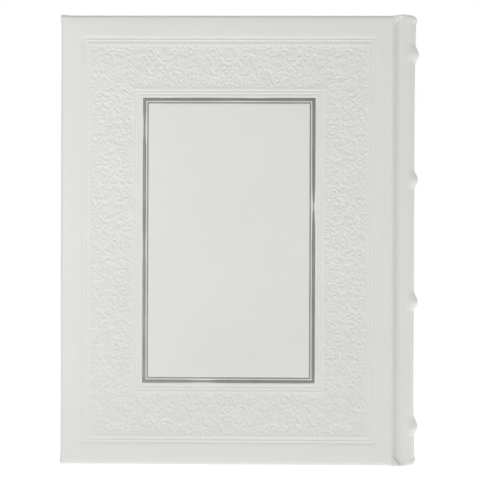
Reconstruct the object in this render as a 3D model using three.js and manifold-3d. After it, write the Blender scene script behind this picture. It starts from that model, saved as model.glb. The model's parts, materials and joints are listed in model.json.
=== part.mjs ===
// A leather-bound prayer book, closed and standing on its tail.
// Millimetres. +X points to the spine, -Y to the front cover, +Z to the head.
// The origin is under the middle of the book, on the surface that it stands on.
import * as THREE from 'three';
import Module from 'manifold-3d';
import { mergeVertices } from 'three/addons/utils/BufferGeometryUtils.js';

const wasm = await Module();
wasm.setup();

// ---- Driving dimensions: text block ----
const leafWidth = 152.4; // shoulder line to fore-edge, trimmed
const leafHeight = 203.2;
const gatheringCount = 16;
const gatheringThickness = 1.8; // a folded section, pressed
const centreLeafCount = 2; // loose leaves at the middle opening
const centreLeafThickness = 0.2;
const spineRise = 6; // rounding of the spine, shoulders to crown
const shoulderReach = 2; // shoulder tip past the shoulder line
const shoulderFlare = 1.6; // how far backing spreads the outer folds
const flareStart = -1.4; // where the folds begin to spread, from the shoulder line
const foldRound = 0.5; // corner taken off each fold

// ---- Driving dimensions: covers ----
const square = 3.2; // cover past the leaves at head, tail and fore-edge
const boardThickness = 2.2;
const boardBackCut = 3.5; // corner taken off the board beside each cap, across
const boardBackRise = 4.5; // the same corner, along the joint
const boardSetback = 0.8; // covered board's back edge, from the shoulder line
const coverLeather = 0.8;
const edgeRound = 1; // leather rolled over the board's edges
const cornerRadius = 1.3; // cover corner, seen from the front
const turnIn = 15; // leather folded inside the board
const turnInLeather = 0.5; // pared thin
const pastedownMargin = 3; // turn-in left showing round the pastedown
const endpaper = 0.25;
const mullFlange = 24; // cloth hinge glued inside each board
const mullInset = 12; // cloth stops this far from head and tail of the leaves

// ---- Driving dimensions: spine ----
const tapeCount = 3;
const tapeWidth = 12;
const tapePitch = 62;
const tapeThickness = 0.3;
const mullThickness = 0.3;
const linerThickness = 0.4;
const spineLeather = 0.8;
const bandFromEnd = 17.1; // outer raised bands, from the covers' head and tail
const bandMiddlePanel = 57.6; // between the two inner bands
const bandBase = 9.4; // width where the leather leaves the spine
const bandCore = 5.6; // width of the strip inside
const bandHeight = 1.75;
const coreStop = 4.4; // its strip ends this far short of the leather's edge
const capRise = 0.7; // leather head cap above the boards
const headbandRadius = 1.1;
const headbandStop = 2.9; // short of the shoulders
const clothStop = 1.85; // tapes, mull and liner end this far short of the shoulders
const jointLeather = 0.7;
const jointTurn = [1.05, 1.2]; // joint leather turning in, from the cover's edge and face
const jointGroove = [[2.7, 1], [2.1, 0.85], [1.4, 1.15]]; // from spine leather and shoulder
const jointRidge = [0.65, 0.45]; // ridge beside the groove, from the spine leather's edge
const ridgeGap = 1.2; // spine leather's edge to the shoulder, for the joint's own ridge

// ---- Driving dimensions: tooled frame on each cover ----
const frameWidth = 80.4;
const frameHeight = 132.8;
const frameInset = 38.3; // frame to fore-edge
const heavyLine = 1.35;
const lineSpace = 0.55;
const fineLine = 0.5;
const foilThickness = 0.12;
const foilDepth = 0.2; // recess pressed into the leather

// ---- Clearances ----
const glueGap = 0.06; // between flat layers glued together
const arcGap = 0.1; // between curved layers
const coreGap = 0.15; // strip to the band leather over it
const fitGap = 0.3; // between pieces that butt or are cut by each other
const leafSlack = 0.1; // flyleaf to the first leaf
const coverSlack = 0.3; // pastedown to flyleaf

// ---- Worked out ----
const gatheringPitch = gatheringThickness + glueGap;
const centreLeafPitch = centreLeafThickness + glueGap;
const centreRoom = centreLeafCount * centreLeafPitch + glueGap;
const textHalf = (gatheringCount * gatheringPitch + centreRoom) / 2;
const leafHalf = leafHeight / 2;
const coverHalfHeight = leafHalf + square;
const foreEdge = -leafWidth - square;

const shoulderHalf = textHalf + shoulderFlare;
const crown = shoulderReach + spineRise;
const spineRadius = (shoulderHalf ** 2 + spineRise ** 2) / (2 * spineRise);
const spineCentre = crown - spineRadius;
const shoulderAngle = Math.asin(shoulderHalf / spineRadius);
const tapeInner = spineRadius + arcGap;
const mullInner = tapeInner + tapeThickness + arcGap;
const linerInner = mullInner + mullThickness + arcGap;
const leatherInner = linerInner + linerThickness + arcGap;
const leatherOuter = leatherInner + spineLeather;
const leatherReach = shoulderAngle - ridgeGap / leatherOuter;
const coreReach = leatherReach - coreStop / leatherInner;
const clothReach = shoulderAngle - clothStop / spineRadius;
const headbandReach = shoulderAngle - headbandStop / spineRadius;

// Depths of the cover's layers, from the middle of the book outwards.
const flyleafInner = textHalf + leafSlack;
const pastedownInner = flyleafInner + endpaper + coverSlack;
const turnInInner = pastedownInner + endpaper + glueGap;
const boardInner = turnInInner + turnInLeather + glueGap;
const leatherFace = boardInner + boardThickness + glueGap;
const coverFace = leatherFace + coverLeather;
const boardFore = foreEdge + coverLeather + glueGap;
const boardHalfHeight = coverHalfHeight - coverLeather - glueGap;
const boardBack = -boardSetback - coverLeather;

// ---- Materials ----
const finish = (color, roughness, metalness = 0) =>
  new THREE.MeshStandardMaterial({ color, roughness, metalness });
const leather = finish(0xe2e3dd, 0.5);
const paper = finish(0xf2efe4, 0.9);
const card = finish(0xb9a98c, 0.95);
const foil = finish(0x9a9c98, 0.3, 0.9);
const cloth = finish(0xe8e4d8, 0.95);
const silk = finish(0xf1f0ea, 0.6);

// The book is modelled about its mid-height, with the shoulder line at x = 0.
const book = new THREE.Group();
const bandCrown = spineCentre + leatherOuter + bandHeight;
book.position.set(-(foreEdge + bandCrown) / 2, 0, coverHalfHeight);

function add(name, geometry, material) {
  const mesh = new THREE.Mesh(geometry, material);
  mesh.name = name;
  book.add(mesh);
}

// Both covers are alike, so the back one is the front one turned over about mid-height.
function addBothSides(name, geometry, material) {
  add(`front_${name}`, geometry, material);
  add(`back_${name}`, geometry.clone().rotateX(Math.PI), material);
}

// A flat layer with its outline in x and z, from depth inner to inner + thickness
// on the front side.
function layer(outline, inner, thickness) {
  const geometry = new THREE.ExtrudeGeometry(outline, { depth: thickness, bevelEnabled: false });
  return geometry.rotateX(Math.PI / 2).translate(0, -inner, 0);
}

function rectangle(left, right, halfHeight) {
  return new THREE.Shape([
    new THREE.Vector2(left, -halfHeight),
    new THREE.Vector2(right, -halfHeight),
    new THREE.Vector2(right, halfHeight),
    new THREE.Vector2(left, halfHeight),
  ]);
}

// A sheet of nu by nv panels, bent by place(u, v, side). u and v run from 0 to 1, and
// side is 0 on the inner face and 1 on the outer face.
function sheet(nu, nv, place) {
  const geometry = new THREE.BoxGeometry(1, 1, 1, nu, nv, 1);
  const points = geometry.attributes.position;
  const corner = new THREE.Vector3();
  for (let i = 0; i < points.count; i++) {
    corner.fromBufferAttribute(points, i).addScalar(0.5);
    const bent = place(corner.x, corner.y, Math.round(corner.z));
    points.setXYZ(i, bent.x, bent.y, bent.z);
  }
  geometry.computeVertexNormals();
  return geometry;
}

function onSpine(radius, angle, z) {
  return new THREE.Vector3(
    spineCentre + radius * Math.cos(angle), radius * Math.sin(angle), z);
}

// A strip that follows the round of the spine, between two radii and two heights.
function spineStrip(inner, thickness, reach, low, high) {
  return sheet(20, 1, (u, v, side) =>
    onSpine(inner + side * thickness, (2 * u - 1) * reach, low + v * (high - low)));
}

// ---- Solids for cutting ----
function toSolid(geometry) {
  const plain = geometry.clone();
  plain.deleteAttribute('normal');
  plain.deleteAttribute('uv');
  const merged = mergeVertices(plain, 1e-4);
  return new wasm.Manifold(new wasm.Mesh({
    numProp: 3,
    vertProperties: new Float32Array(merged.attributes.position.array),
    triVerts: new Uint32Array(merged.index.array),
  }));
}

function toGeometry(solid) {
  const mesh = solid.getMesh();
  const geometry = new THREE.BufferGeometry();
  geometry.setAttribute('position', new THREE.BufferAttribute(mesh.vertProperties, 3));
  geometry.setIndex(new THREE.BufferAttribute(mesh.triVerts, 1));
  geometry.computeVertexNormals();
  return geometry;
}

// ---- Text block ----
// The fore-edge is hollowed by as much as the spine is rounded.
function foreEdgeAt(y) {
  const radius = (textHalf ** 2 + spineRise ** 2) / (2 * spineRise);
  return -leafWidth + Math.sqrt(radius ** 2 - y ** 2) - radius + spineRise;
}

// Where a fold that lies at depth y in the block ends on the round of the spine.
function foldEnd(y, roundOff) {
  const spread = y * shoulderHalf / textHalf;
  const angle = Math.asin(spread / spineRadius);
  const radius = spineRadius - roundOff;
  return new THREE.Vector2(
    spineCentre + radius * Math.cos(angle), radius * Math.sin(angle));
}

// One side of a gathering, from the fore-edge to its fold: flat, then spreading.
function gatheringSide(y) {
  const end = foldEnd(y, foldRound);
  const points = [new THREE.Vector2(foreEdgeAt(y), y)];
  for (const t of [0, 0.4, 0.7, 1]) {
    points.push(new THREE.Vector2(
      THREE.MathUtils.lerp(flareStart, end.x, t), y + (end.y - y) * t ** 2));
  }
  return points;
}

function gathering(low) {
  const near = low + glueGap / 2;
  const far = near + gatheringThickness;
  const across = [0.25, 0.5, 0.75].map((t) =>
    foldEnd(near + t * gatheringThickness, foldRound * (2 * t - 1) ** 2));
  const outline = [...gatheringSide(near), ...across, ...gatheringSide(far).reverse()];
  return new THREE.ExtrudeGeometry(
    new THREE.Shape(outline), { depth: leafHeight, bevelEnabled: false },
  ).translate(0, 0, -leafHalf);
}

function addTextBlock() {
  for (let i = 0; i < gatheringCount; i++) {
    const half = i < gatheringCount / 2 ? 0 : centreRoom;
    const low = -textHalf + i * gatheringPitch + half;
    add(`gathering_${String(i + 1).padStart(2, '0')}`, gathering(low), paper);
  }
  const leafOutline = rectangle(foreEdgeAt(0), crown - foldRound, leafHalf);
  for (let i = 0; i < centreLeafCount; i++) {
    const inner = centreRoom / 2 - (i + 1) * centreLeafPitch;
    add(`centre_leaf_${i + 1}`, layer(leafOutline, inner, centreLeafThickness), paper);
  }
}

// ---- Linings, bands and caps on the spine ----
function addSpineLinings() {
  for (let i = 0; i < tapeCount; i++) {
    const middle = (i - (tapeCount - 1) / 2) * tapePitch;
    add(`sewing_tape_${i + 1}`, spineStrip(
      tapeInner, tapeThickness, clothReach, middle - tapeWidth / 2, middle + tapeWidth / 2), cloth);
  }
  const mullHalf = leafHalf - mullInset;
  add('spine_mull', spineStrip(mullInner, mullThickness, clothReach, -mullHalf, mullHalf), cloth);
  add('spine_liner', spineStrip(linerInner, linerThickness, clothReach, -leafHalf, leafHalf), card);
}

const bandOuter = coverHalfHeight - bandFromEnd;
const bandInner = bandMiddlePanel / 2;
const bandHeights = [-bandOuter, -bandInner, bandInner, bandOuter];

// How far the leather stands out over a band, away from the band's middle.
function bandSwell(offset, angle) {
  const across = Math.min(1, Math.abs(offset) / (bandBase / 2));
  const around = Math.min(1, Math.abs(angle) / leatherReach);
  return bandHeight * 0.5 * (1 + Math.cos(Math.PI * across)) * (1 - around ** 4);
}

function addSpineLeather() {
  const levels = [-coverHalfHeight];
  for (const middle of bandHeights) {
    for (let step = -3; step <= 3; step++) {
      levels.push(middle + step * bandBase / 6);
    }
  }
  levels.push(coverHalfHeight);
  const rows = levels.length - 1;
  add('spine_leather', sheet(24, rows, (u, v, side) => {
    const angle = (2 * u - 1) * leatherReach;
    const level = Math.round(v * rows);
    const swell = Math.max(...bandHeights.map((middle) => bandSwell(levels[level] - middle, angle)));
    const arch = level === rows ? capRise * Math.cos(angle) : 0;
    return onSpine(leatherInner + side * spineLeather + swell, angle, levels[level] + arch);
  }), leather);
}

function addBandCores() {
  bandHeights.forEach((middle, i) => {
    add(`band_core_${i + 1}`, sheet(14, 4, (u, v, side) => {
      const angle = (2 * u - 1) * coreReach;
      const offset = (v - 0.5) * bandCore;
      const depth = bandSwell(offset, angle) - coreGap;
      return onSpine(leatherInner + side * depth, angle, middle + offset);
    }), card);
  });
}

function addHeadbands() {
  const section = new THREE.Shape();
  section.absarc(0, 0, headbandRadius, 0, 2 * Math.PI);
  for (const [name, end] of [['headband', 1], ['tailband', -1]]) {
    const z = end * (leafHalf + headbandRadius + arcGap);
    const points = [];
    for (let i = 0; i <= 12; i++) {
      points.push(onSpine(spineRadius - headbandRadius, (i / 6 - 1) * headbandReach, z));
    }
    const path = new THREE.CatmullRomCurve3(points);
    add(name, new THREE.ExtrudeGeometry(
      section, { steps: 16, curveSegments: 5, extrudePath: path }), silk);
  }
}

// The leather in the joint: down from the board's face into the groove, over the ridge
// beside it, and back to meet the spine leather.
function addJointLeather() {
  const spineEnd = leatherReach + fitGap / leatherOuter;
  const meet = onSpine(leatherOuter - spineLeather / 2, -spineEnd, 0);
  const start = -coverFace + jointLeather / 2 + glueGap;
  const curve = new THREE.SplineCurve([
    new THREE.Vector2(-boardSetback + 2 * fitGap, start),
    new THREE.Vector2(-boardSetback + jointTurn[0], -coverFace + jointTurn[1]),
    ...jointGroove.map(([across, out]) =>
      new THREE.Vector2(meet.x - across, -shoulderHalf - out)),
    new THREE.Vector2(meet.x - jointRidge[0], meet.y - jointRidge[1]),
    new THREE.Vector2(meet.x, meet.y),
  ]);
  const steps = 14;
  const outline = [];
  for (const side of [1, -1]) {
    for (let i = 0; i <= steps; i++) {
      const t = side > 0 ? i / steps : 1 - i / steps;
      const along = curve.getTangent(t);
      const offset = new THREE.Vector2(along.y, -along.x).multiplyScalar(side * jointLeather / 2);
      outline.push(curve.getPoint(t).add(offset));
    }
  }
  addBothSides('joint_leather', new THREE.ExtrudeGeometry(
    new THREE.Shape(outline), { depth: 2 * coverHalfHeight, bevelEnabled: false },
  ).translate(0, 0, -coverHalfHeight), leather);
}

// ---- Tooled frame ----
const frameLeft = foreEdge + frameInset;
const foilLines = [
  { name: 'foil_heavy_line', inset: 0, width: heavyLine },
  { name: 'foil_fine_line', inset: heavyLine + lineSpace, width: fineLine },
];

// A rectangular line round the panel, grown by room on both of its edges.
function foilOutline({ inset, width }, room) {
  const outer = inset - room;
  const inner = inset + width + room;
  const outline = rectangle(
    frameLeft + outer, frameLeft + frameWidth - outer, frameHeight / 2 - outer);
  outline.holes.push(rectangle(
    frameLeft + inner, frameLeft + frameWidth - inner, frameHeight / 2 - inner));
  return outline;
}

function addFoil() {
  for (const line of foilLines) {
    const inner = coverFace - foilDepth + glueGap;
    addBothSides(line.name, layer(foilOutline(line, 0), inner, foilThickness), foil);
  }
}

// ---- Covers ----
// Leather wraps the board's face and three edges, and is folded inside it as turn-ins.
function addCoverLeather() {
  const right = -boardSetback + 2 * cornerRadius;
  const outline = new THREE.Shape();
  outline.absarc(foreEdge + cornerRadius, cornerRadius - coverHalfHeight,
    cornerRadius, Math.PI, 1.5 * Math.PI);
  outline.lineTo(right, -coverHalfHeight);
  outline.lineTo(right, coverHalfHeight);
  outline.absarc(foreEdge + cornerRadius, coverHalfHeight - cornerRadius,
    cornerRadius, 0.5 * Math.PI, Math.PI);
  const wrap = new THREE.ExtrudeGeometry(outline, {
    depth: coverFace - turnInInner - 2 * edgeRound,
    bevelThickness: edgeRound,
    bevelSize: edgeRound,
    bevelOffset: -edgeRound,
    bevelSegments: 3,
    curveSegments: 3,
  }).rotateX(Math.PI / 2).translate(0, -turnInInner - edgeRound, 0);

  const past = right + 1;
  const backWaste = layer(rectangle(-boardSetback, past, coverHalfHeight + 1), turnInInner - 1,
    coverFace - turnInInner + 2);
  const cavity = layer(rectangle(boardFore - glueGap, past, boardHalfHeight + glueGap),
    boardInner - glueGap, boardThickness + 2 * glueGap);
  const window = layer(rectangle(foreEdge + turnIn, past, coverHalfHeight - turnIn),
    turnInInner - 1, turnInLeather + 1 + glueGap);
  let solid = toSolid(wrap);
  for (const waste of [backWaste, cavity, window]) {
    solid = solid.subtract(toSolid(waste));
  }
  for (const line of foilLines) {
    const recess = layer(foilOutline(line, arcGap), coverFace - foilDepth, foilDepth + 1);
    solid = solid.subtract(toSolid(recess));
  }
  addBothSides('leather', toGeometry(solid), leather);
}

function addBoards() {
  const cut = new THREE.Shape([
    new THREE.Vector2(boardFore, -boardHalfHeight),
    new THREE.Vector2(boardBack - boardBackCut, -boardHalfHeight),
    new THREE.Vector2(boardBack, -boardHalfHeight + boardBackRise),
    new THREE.Vector2(boardBack, boardHalfHeight - boardBackRise),
    new THREE.Vector2(boardBack - boardBackCut, boardHalfHeight),
    new THREE.Vector2(boardFore, boardHalfHeight),
  ]);
  addBothSides('board', layer(cut, boardInner, boardThickness), card);
}

function addBoardLinings() {
  const windowHalf = coverHalfHeight - turnIn - fitGap;
  const flangeLeft = boardBack - mullFlange;
  addBothSides('infill_card', layer(
    rectangle(foreEdge + turnIn + fitGap, flangeLeft - fitGap, windowHalf),
    turnInInner, turnInLeather), card);
  addBothSides('mull_flange', layer(
    rectangle(flangeLeft, boardBack, Math.min(windowHalf, leafHalf - mullInset)),
    turnInInner, turnInLeather), cloth);
  addBothSides('pastedown', layer(
    rectangle(foreEdge + pastedownMargin, boardBack, coverHalfHeight - pastedownMargin),
    pastedownInner, endpaper), paper);
  addBothSides('flyleaf', layer(
    rectangle(-leafWidth, flareStart, leafHalf), flyleafInner, endpaper), paper);
}

addTextBlock();
addSpineLinings();
addSpineLeather();
addBandCores();
addHeadbands();
addJointLeather();
addFoil();
addCoverLeather();
addBoards();
addBoardLinings();

export default book;
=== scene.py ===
import json
import math

import bpy
import numpy as np
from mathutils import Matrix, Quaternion, Vector


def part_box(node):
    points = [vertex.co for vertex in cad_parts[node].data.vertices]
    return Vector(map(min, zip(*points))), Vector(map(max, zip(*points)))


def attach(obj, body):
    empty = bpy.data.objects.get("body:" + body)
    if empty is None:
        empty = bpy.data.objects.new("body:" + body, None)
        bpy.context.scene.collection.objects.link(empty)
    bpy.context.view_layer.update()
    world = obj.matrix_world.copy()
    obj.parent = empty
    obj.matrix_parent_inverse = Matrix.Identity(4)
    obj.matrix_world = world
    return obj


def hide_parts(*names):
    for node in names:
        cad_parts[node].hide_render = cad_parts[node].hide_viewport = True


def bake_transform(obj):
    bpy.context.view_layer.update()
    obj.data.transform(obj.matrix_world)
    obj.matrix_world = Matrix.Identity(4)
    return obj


# The looks of a white leather prayer book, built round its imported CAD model.
# Metres. +X points to the spine, -Y to the front cover, +Z to the head.
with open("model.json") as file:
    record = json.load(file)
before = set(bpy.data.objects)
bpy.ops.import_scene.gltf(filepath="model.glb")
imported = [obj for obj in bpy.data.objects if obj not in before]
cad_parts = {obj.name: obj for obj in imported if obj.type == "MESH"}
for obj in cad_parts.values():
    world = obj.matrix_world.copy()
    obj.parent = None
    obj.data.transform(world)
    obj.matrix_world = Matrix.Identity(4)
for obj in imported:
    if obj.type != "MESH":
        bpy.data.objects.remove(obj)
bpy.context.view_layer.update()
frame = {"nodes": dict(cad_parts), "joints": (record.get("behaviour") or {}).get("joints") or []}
MM = 0.001


# ---- Places, read from the CAD model ----
def vertices(node):
    return [v.co for v in frame["nodes"][node].data.vertices]


def arc_of(node):
    """Centre x, outer radius and half angle of a CAD strip that is bent round the spine."""
    points = vertices(node)
    apex = max(p.x for p in points)
    end = max(points, key=lambda p: p.y)
    rise = apex - end.x
    radius = (rise ** 2 + end.y ** 2) / (2 * rise)
    return apex - radius, radius, math.asin(end.y / radius)


def hinge_of(joint):
    """Where a joint's vertical axis stands, as (x, y)."""
    found = next(j for j in frame["joints"] if j["name"] == joint)
    return found["pos_m"][0], found["pos_m"][1]


cover_low, cover_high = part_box("front_leather")
FORE, BACK = cover_low.x, cover_high.x
FACE = -cover_low.y
INSIDE = -cover_high.y
HEAD = cover_high.z
MIDDLE = HEAD / 2
foil_low, foil_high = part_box("front_foil_heavy_line")
fine_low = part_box("front_foil_fine_line")[0]
SPINE_X, LINER_RADIUS = arc_of("spine_liner")[:2]
spine_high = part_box("spine_leather")[1]
leaf_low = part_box("gathering_01")[0]
OPENING = hinge_of("middle_opening")

# ---- Sizes of the leather, in step with the CAD model ----
LEATHER = 0.8 * MM
LEATHER_RADIUS = LINER_RADIUS + 0.1 * MM
SKIN_RADIUS = LEATHER_RADIUS + LEATHER
LEATHER_REACH = math.asin(spine_high.y / SKIN_RADIUS)
BAND_HEIGHT = 1.75 * MM
BAND_HALF = 4.7 * MM
BANDS = [
    (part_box(f"band_core_{i}")[0].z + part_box(f"band_core_{i}")[1].z) / 2 for i in (1, 2, 3, 4)
]

# The tooling is placed by its distance outwards from the foil frame.
OUTER_LINES = (27.6 * MM, 26.1 * MM)
BORDER = (24.6 * MM, 4.2 * MM)
INNER_LINES = (3.1 * MM, 1.7 * MM)
LINE_DEPTH = 0.16 * MM
LINE_HALF = 0.42 * MM
GROUND_DEPTH = 0.3 * MM
FINE_SHIFT = 0.15 * MM
FINE_INSET = fine_low.x - foil_low.x + FINE_SHIFT
FINE_WIDTH = 0.62 * MM
HEAVY_WIDTH = FINE_INSET - 0.45 * MM
FOIL_SUNK = 0.1 * MM
# Name of the mesh attribute that places painted shade in the joint groove.
SHADE_ATTRIBUTE = "groove_shade"


# ---- Mesh helpers ----
def smooth(t):
    t = np.clip(t, 0, 1)
    return t * t * (3 - 2 * t)


def add_piece(name, points, faces, material, sharp_above=None):
    """A mesh object from points in metres. Edges bent more than sharp_above degrees stay sharp."""
    mesh = bpy.data.meshes.new(name)
    mesh.from_pydata([tuple(p) for p in points], [], faces)
    mesh.materials.append(material)
    mesh.validate()
    mesh.shade_smooth()
    if sharp_above is not None:
        mesh.set_sharp_from_angle(angle=math.radians(sharp_above))
    piece = bpy.data.objects.new(name, mesh)
    bpy.context.scene.collection.objects.link(piece)
    return piece


def grid_faces(rows, columns, wrap=False):
    """Quads over rows by columns of points. wrap joins the last column to the first."""
    faces = []
    for i in range(rows - 1):
        for j in range(columns if wrap else columns - 1):
            k = (j + 1) % columns
            a, b = i * columns + j, i * columns + k
            faces.append((a, b, b + columns, a + columns))
    return faces


def slab_faces(rows, columns):
    """Faces of a thin slab: the grid of points on its outside, then the one on its inside."""
    half = rows * columns
    outside = grid_faces(rows, columns)
    faces = outside + [tuple(half + k for k in reversed(face)) for face in outside]
    for i in range(rows - 1):
        for j in (0, columns - 1):
            a, b = i * columns + j, (i + 1) * columns + j
            face = (a, b, half + b, half + a)
            faces.append(tuple(reversed(face)) if j else face)
    for i in (0, rows - 1):
        for j in range(columns - 1):
            a, b = i * columns + j, i * columns + j + 1
            face = (b, a, half + a, half + b)
            faces.append(tuple(reversed(face)) if i else face)
    return faces


def on_side(side, points, faces):
    """A piece drawn for the front cover, or its mirror image for the back cover."""
    if side == "front":
        return points, faces
    mirrored = np.array(points, float)
    mirrored[:, 1] *= -1
    return mirrored, [tuple(reversed(face)) for face in faces]


# ---- Materials ----
def new_material(name, color, roughness):
    """A material, its shader and the function that links its sockets."""
    material = bpy.data.materials.new(name)
    material.use_nodes = True
    shader = material.node_tree.nodes["Principled BSDF"]
    shader.inputs["Base Color"].default_value = (*color, 1)
    shader.inputs["Roughness"].default_value = roughness
    return material, shader, material.node_tree.links.new


def add_node(owner, kind, **sockets):
    """A new node in a material or world, with some of its sockets set."""
    node = owner.node_tree.nodes.new(kind)
    for name, value in sockets.items():
        node.inputs[name.replace("_", " ")].default_value = value
    return node


def follow_object(material, node):
    """Fixes a pattern to the object's own coordinates, in metres."""
    place = add_node(material, "ShaderNodeTexCoord")
    material.node_tree.links.new(place.outputs["Object"], node.inputs["Vector"])


def noise(material, scale, detail=4, stretch=(1, 1, 1), roughness=0.5):
    """A noise pattern, stretched along an axis by a smaller factor."""
    mapping = add_node(material, "ShaderNodeMapping", Scale=stretch)
    follow_object(material, mapping)
    pattern = add_node(material, "ShaderNodeTexNoise", Scale=scale, Detail=detail, Roughness=roughness)
    material.node_tree.links.new(mapping.outputs["Vector"], pattern.inputs["Vector"])
    return pattern.outputs["Fac"]


def cells(material, scale):
    """A pattern of small cells, as in grained leather."""
    pattern = add_node(material, "ShaderNodeTexVoronoi", Scale=scale)
    pattern.feature = "SMOOTH_F1"
    follow_object(material, pattern)
    return pattern.outputs["Distance"]


def ramp(material, source, low, high, start=0.3, end=0.7):
    """Maps a pattern to a colour or grey from low to high."""
    node = add_node(material, "ShaderNodeValToRGB")
    node.color_ramp.elements[0].position = start
    node.color_ramp.elements[1].position = end
    for element, value in zip(node.color_ramp.elements, (low, high)):
        element.color = (*value, 1) if isinstance(value, tuple) else (value, value, value, 1)
    material.node_tree.links.new(source, node.inputs["Fac"])
    return node.outputs["Color"]


def bump(material, source, distance, strength=1.0, under=None):
    node = add_node(material, "ShaderNodeBump", Strength=strength, Distance=distance)
    material.node_tree.links.new(source, node.inputs["Height"])
    if under is not None:
        material.node_tree.links.new(under, node.inputs["Normal"])
    return node.outputs["Normal"]


def leather_material(name="white_leather", painted_shade=False):
    """White calf: almost smooth, semi-matt, with a fine pore and faint uneven tone.
    Where the mesh's painted-shade attribute is high, the base colour is darkened as painted shade for the
    groove."""
    material, shader, link = new_material(name, (0.7, 0.708, 0.672), 0.46)
    tone = ramp(material, noise(material, 24, 3), (0.72, 0.728, 0.69), (0.74, 0.748, 0.712))
    if painted_shade:
        # Painted shade: a darker leather colour is mixed in where the attribute is high.
        groove_shade = add_node(material, "ShaderNodeAttribute")
        groove_shade.attribute_name = SHADE_ATTRIBUTE
        mix = add_node(material, "ShaderNodeMix")
        mix.data_type = "RGBA"
        mix.inputs["B"].default_value = (0.66, 0.675, 0.63, 1)
        link(groove_shade.outputs["Fac"], mix.inputs["Factor"])
        link(tone, mix.inputs["A"])
        tone = mix.outputs["Result"]
    link(tone, shader.inputs["Base Color"])
    link(ramp(material, noise(material, 160, 3), 0.42, 0.54), shader.inputs["Roughness"])
    grain = bump(material, cells(material, 2300), 0.02 * MM, 0.35)
    creases = bump(material, noise(material, 420, 5), 0.05 * MM, 0.25, grain)
    link(creases, shader.inputs["Normal"])
    shader.inputs["Specular IOR Level"].default_value = 0.42
    return material


def foil_material():
    """Silver foil, a little worn, so that it is darker and lighter along its length."""
    material, shader, link = new_material("silver_foil", (0.3, 0.305, 0.29), 0.36)
    patches = noise(material, 90, 5, roughness=0.65)
    link(ramp(material, patches, (0.22, 0.224, 0.214), (0.28, 0.285, 0.272), 0.36, 0.66),
         shader.inputs["Base Color"])
    link(ramp(material, noise(material, 900, 4), 0.42, 0.56), shader.inputs["Roughness"])
    link(bump(material, noise(material, 2600, 3), 0.02 * MM, 0.25), shader.inputs["Normal"])
    shader.inputs["Metallic"].default_value = 0.85
    return material


def paper_material(name, color, fibre=1800):
    material, shader, link = new_material(name, color, 0.88)
    darker = tuple(0.955 * c for c in color)
    link(ramp(material, noise(material, 70, 4), darker, color), shader.inputs["Base Color"])
    link(bump(material, noise(material, fibre, 5), 0.02 * MM, 0.35), shader.inputs["Normal"])
    shader.inputs["Specular IOR Level"].default_value = 0.25
    return material


def board_material():
    material, shader, link = new_material("binder_board", (0.36, 0.31, 0.22), 0.95)
    flecks = noise(material, 1500, 6, roughness=0.7)
    link(ramp(material, flecks, (0.27, 0.23, 0.16), (0.44, 0.38, 0.28)), shader.inputs["Base Color"])
    link(bump(material, flecks, 0.06 * MM, 0.6), shader.inputs["Normal"])
    return material


def cloth_material():
    """Open cotton weave: crossed threads 0.7 mm apart."""
    material, shader, link = new_material("binding_cloth", (0.74, 0.71, 0.62), 0.95)
    threads = []
    for direction in ("Z", "X"):
        wave = add_node(material, "ShaderNodeTexWave", Scale=450, Distortion=0.6)
        wave.bands_direction = direction
        follow_object(material, wave)
        threads.append(wave.outputs["Fac"])
    both = add_node(material, "ShaderNodeMath")
    both.operation = "MAXIMUM"
    link(threads[0], both.inputs[0])
    link(threads[1], both.inputs[1])
    tone = ramp(material, both.outputs[0], (0.6, 0.57, 0.49), (0.79, 0.76, 0.67))
    link(tone, shader.inputs["Base Color"])
    link(bump(material, both.outputs[0], 0.15 * MM, 0.7), shader.inputs["Normal"])
    return material


def silk_material():
    material, shader, link = new_material("headband_silk", (0.78, 0.78, 0.74), 0.42)
    strands = noise(material, 1400, 4, (1, 1, 0.25))
    link(ramp(material, strands, (0.7, 0.7, 0.66), (0.84, 0.84, 0.8)), shader.inputs["Base Color"])
    link(bump(material, strands, 0.04 * MM, 0.5), shader.inputs["Normal"])
    shader.inputs["Sheen Weight"].default_value = 0.3
    return material


LEATHER_LOOK = leather_material()
# Leather with painted shade darkening its colour in the joint groove.
GROOVE_SHADED_LOOK = leather_material("groove_leather_painted_shade", True)
FOIL_LOOK = foil_material()
PAPER_LOOK = paper_material("page_paper", (0.84, 0.81, 0.72))
ENDPAPER_LOOK = paper_material("endpaper", (0.86, 0.84, 0.77), 1200)
BOARD_LOOK = board_material()
CLOTH_LOOK = cloth_material()
SILK_LOOK = silk_material()


# ---- Tooled border: one repeat of scroll and leaf work, as a height from 0 to 1 ----
REPEAT = 29.5 * MM
FLESH = 1.3
BAND_WIDE = BORDER[0] - BORDER[1]
CELL = 0.1 * MM


def stroke(image, points, width, height=1.0):
    """Raises a rounded ridge along a line. Both are in metres, and the tile repeats along x."""
    rows, columns = image.shape
    width *= FLESH
    reach = int(math.ceil(2.0 * width / CELL))
    for x, y in points:
        i, j = int(round(y / CELL)), int(round(x / CELL))
        low, high = max(0, i - reach), min(rows, i + reach + 1)
        if low >= high:
            continue
        across = np.arange(j - reach, j + reach + 1)
        yy = (np.arange(low, high) * CELL - y)[:, None]
        xx = (across * CELL - x)[None, :]
        ridge = height * np.exp(-((xx ** 2 + yy ** 2) / width ** 2) ** 1.3)
        at = np.ix_(np.arange(low, high), across % columns)
        image[at] = np.maximum(image[at], ridge)


def along(points, step=0.12 * MM):
    """Points spaced evenly along a line given by a few points."""
    points = np.array(points, float)
    lengths = np.r_[0, np.cumsum(np.hypot(*np.diff(points, axis=0).T))]
    places = np.arange(0, lengths[-1], step)
    return np.column_stack([np.interp(places, lengths, points[:, k]) for k in (0, 1)])


def spiral(centre, radius, turns, start, way):
    """A scroll that winds in from its rim to its centre."""
    t = np.linspace(0, 1, 60)
    angle = start + way * 2 * math.pi * turns * t
    reach = radius * (1 - 0.86 * t)
    return np.column_stack([centre[0] + reach * np.cos(angle), centre[1] + reach * np.sin(angle)])


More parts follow.
